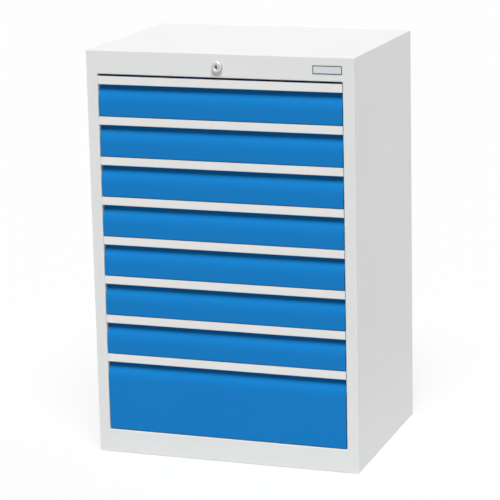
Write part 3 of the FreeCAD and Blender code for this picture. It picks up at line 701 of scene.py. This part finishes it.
def make_key_barrel():
    """Key barrel with the keyway in its face and the square tail that carries the cam."""
    low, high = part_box("lock_barrel")
    face, back = low[1], high[1]
    tail = back - BARREL_TAIL
    across, up = lock_centre()
    corners = keyway_outline()
    angles = {2 * math.pi * side / BARREL_SIDES for side in range(BARREL_SIDES)}
    angles |= {math.atan2(z, x) % (2 * math.pi) for x, z in corners}
    keyway = {angle: ray_length(corners, angle) for angle in angles}
    flared = {angle: reach + KEYWAY_FLARE for angle, reach in keyway.items()}
    rim = dict.fromkeys(angles, BARREL_RADIUS - BARREL_BEVEL)
    wall = dict.fromkeys(angles, BARREL_RADIUS)
    sheet = Sheet()
    rings = []
    for y, reach in ((face + KEYWAY_DEPTH, keyway), (face + FLARE_DEPTH, keyway), (face, flared),
                     (face, rim), (face + BARREL_BEVEL, wall), (tail, wall)):
        rings.append([sheet.mesh.verts.new((across + reach[angle] * math.cos(angle), y,
                                            up + reach[angle] * math.sin(angle)))
                      for angle in sorted(angles)])
    sheet.skin(rings)
    sheet.mesh.faces.new(rings[0])
    sheet.mesh.faces.new(rings[-1][::-1])
    half = TAIL_SIZE / 2
    sheet.block((across - half, tail, up - half), (across + half, back, up + half))
    piece("key_barrel", sheet, "lock_barrel", finishes["lock_chrome"],
          replaced=["lock_barrel"], smooth_below=30)


def make_keyway_shade_fill():
    """Painted shade: a near-black block that fills the keyway behind the barrel's face in place of the
    keyway's shadow.
    """
    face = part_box("lock_barrel")[0][1]
    across, up = lock_centre()
    sheet = Sheet()
    rings = []
    for y in (face + SHADE_FILL_START, face + KEYWAY_DEPTH - SHADE_FILL_END):
        rings.append([sheet.mesh.verts.new((across + SHADE_FILL_FIT * x, y, up + SHADE_FILL_FIT * z))
                      for x, z in keyway_outline()])
    sheet.skin(rings)
    for ring in rings:
        sheet.mesh.faces.new(ring)
    piece("keyway_shade_fill", sheet, "lock_barrel", finishes["keyway_shadow"])


def ray_length(corners, angle):
    """Distance from the middle of a closed outline to its edge, along an angle."""
    ahead = Vector((math.cos(angle), math.sin(angle)))
    best = 0.0
    for first, second in zip(corners, corners[1:] + corners[:1]):
        start, side = Vector(first), Vector(second) - Vector(first)
        spread = ahead.x * side.y - ahead.y * side.x
        if abs(spread) < PARALLEL:
            continue
        reach = (start.x * side.y - start.y * side.x) / spread
        share = (start.x * ahead.y - start.y * ahead.x) / spread
        if reach > 0 and -TOUCHING <= share <= 1 + TOUCHING:
            best = max(best, reach)
    return best


def make_name_plate():
    """Blank plate: a dark rim round a recessed silver face."""
    low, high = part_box("name_plate")
    us = [low[0], low[0] + PLATE_RIM, high[0] - PLATE_RIM, high[0]]
    vs = [low[2], low[2] + PLATE_RIM, high[2] - PLATE_RIM, high[2]]
    sheet = Sheet()
    sheet.pierced(us, vs, {(1, 1)}, low[1], high[1], lambda u, v, depth: (u, depth, v))
    piece("name_plate_rim", sheet, "cabinet", finishes["plate_rim"],
          replaced=["name_plate"], bevel=EDGE_BREAK)
    sheet = Sheet()
    sheet.block((us[1], low[1] + PLATE_RECESS, vs[1]), (us[2], high[1], vs[2]))
    piece("name_plate_face", sheet, "cabinet", finishes["plate_aluminium"])


# ---- stage ----

def make_floor():
    """Flat floor that reaches far past the view."""
    floor = Sheet()
    reach = FLOOR_REACH
    floor.face([(-reach, -reach, 0), (reach, -reach, 0), (reach, reach, 0), (-reach, reach, 0)])
    data = bpy.data.meshes.new("floor")
    floor.mesh.to_mesh(data)
    floor.mesh.free()
    shape = bpy.data.objects.new("floor", data)
    data.materials.append(floor_finish())
    bpy.context.scene.collection.objects.link(shape)


def make_world():
    """Faint light from all round, and white wherever it is seen, in gloss and through glass too."""
    shader = Shader(bpy.data.worlds.new("studio"))
    level = shader.between(shader.seen(), 0.0, 1.0, WORLD_LEVEL, 1.0)
    light = shader.node("ShaderNodeBackground", inputs={"Color": rgba(WHITE), "Strength": level})
    shader.node("ShaderNodeOutputWorld", inputs={"Surface": light})
    bpy.context.scene.world = shader.owner


def away(azimuth, elevation):
    """Direction from the object, by azimuth from the front towards the right, and by elevation."""
    turn, rise = math.radians(azimuth), math.radians(elevation)
    return Vector((math.sin(turn) * math.cos(rise), -math.cos(turn) * math.cos(rise), math.sin(rise)))


def make_lamp(name, strength, azimuth, elevation, softness):
    """Distant soft lamp; softness is the angle that it fills."""
    data = bpy.data.lights.new(name, "SUN")
    data.energy = strength
    data.angle = math.radians(softness)
    lamp = bpy.data.objects.new(name, data)
    lamp.rotation_euler = away(azimuth, elevation).to_track_quat("Z", "Y").to_euler()
    bpy.context.scene.collection.objects.link(lamp)


def make_camera():
    """Camera at the set place, turned by azimuth, elevation and a slight roll."""
    back = away(CAMERA_AZIMUTH, CAMERA_ELEVATION)
    right = Vector((0, 0, 1)).cross(back).normalized()
    down = (-back).cross(right)
    roll = math.radians(CAMERA_ROLL)
    image_right = right * math.cos(roll) + down * math.sin(roll)
    image_down = down * math.cos(roll) - right * math.sin(roll)
    turn = Matrix((image_right, -image_down, back)).transposed().to_4x4()
    data = bpy.data.cameras.new("camera")
    data.lens = CAMERA_LENS
    data.sensor_width = CAMERA_SENSOR
    data.shift_x, data.shift_y = CAMERA_SHIFT
    camera = bpy.data.objects.new("camera", data)
    camera.matrix_world = Matrix.Translation(CAMERA_AT) @ turn
    bpy.context.scene.collection.objects.link(camera)
    bpy.context.scene.camera = camera


make_camera()
make_world()
for lamp_name, lamp_values in LAMPS.items():
    make_lamp(lamp_name, *lamp_values)
make_floor()
bpy.context.scene.view_settings.view_transform = "Standard"

finishes = {
    "body_paint": powder_coat("body_paint", BODY_GREY, shine=0.10),
    "front_paint": powder_coat("front_paint", FRONT_BLUE, roughness=0.32, shine=0.04),
    "grip_paint": powder_coat("grip_paint", GRIP_GREY, roughness=0.40, shine=0.10),
    "tray_paint": powder_coat("tray_paint", TRAY_GREY, roughness=0.48, grain=0.8, depth=0.02 * MM),
    "runner_steel": rolled_zinc("runner_steel", ZINC),
    "galvanised_steel": spangled_zinc("galvanised_steel", SPANGLE_ZINC),
    "plate_aluminium": plate_foil("plate_aluminium", PLATE_SILVER),
    "lock_chrome": turned_nickel("lock_chrome", NICKEL),
    "guide_plastic": moulded_plastic("guide_plastic", GUIDE_BLACK),
    # painted shade: near-black matt finish of the keyway's filling
    "keyway_shadow": moulded_plastic("keyway_shadow", KEYWAY_SHADE_BLACK, roughness=0.6, shine=0.05),
    "plate_rim": powder_coat("plate_rim", PLATE_RIM_GREY, roughness=0.5),
    "bright_steel": rolled_zinc("bright_steel", tinted(ZINC, BRIGHTER), roughness=0.22),
}

for part in frame["record"]["subparts"]:
    dress(part["node"], finishes[part["material_slot"]])

make_rosette()
make_key_barrel()
# painted shade filling the keyway
make_keyway_shade_fill()
make_name_plate()
make_upright_rivets()
make_back_rivets()
for drawer in DRAWERS:
    make_front(drawer)
    make_tray(drawer)
    make_balls(drawer)
    make_drawer_rivets(drawer)
